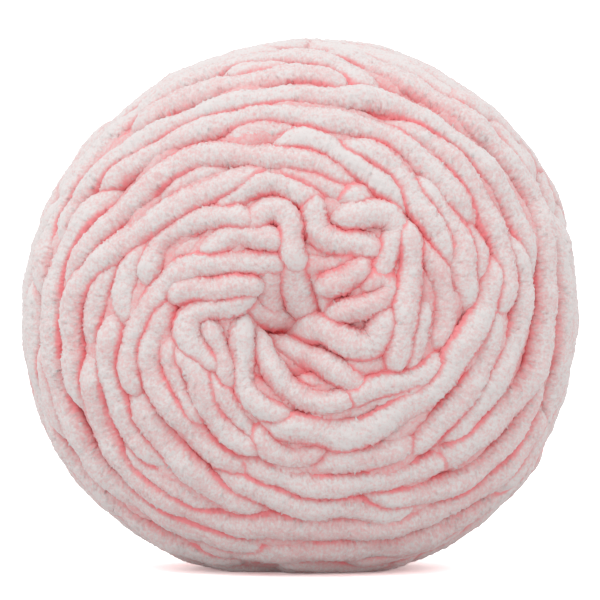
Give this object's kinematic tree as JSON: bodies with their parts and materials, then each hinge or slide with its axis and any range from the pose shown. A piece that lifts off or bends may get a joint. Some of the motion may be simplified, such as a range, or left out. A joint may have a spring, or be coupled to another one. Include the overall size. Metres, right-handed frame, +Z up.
{
  "type": "ball of chenille yarn",
  "caption": "Wound ball of thick soft chenille yarn with a rosette on each face, resting on its rim on a small flat foot.",
  "frame": {"origin": "middle of the footprint, on the surface that the ball stands on", "axes": "+Z up, Y along the winding axis with the front rosette facing -Y, X across the ball"},
  "size_m": [0.128, 0.0954, 0.1217],
  "materials": {
    "chenille": "deep soft matt pile, pale pink with coral in the folds"
  },
  "bodies": {
    "root": {"yarn_ball": "chenille"}
  },
  "joints": []
}
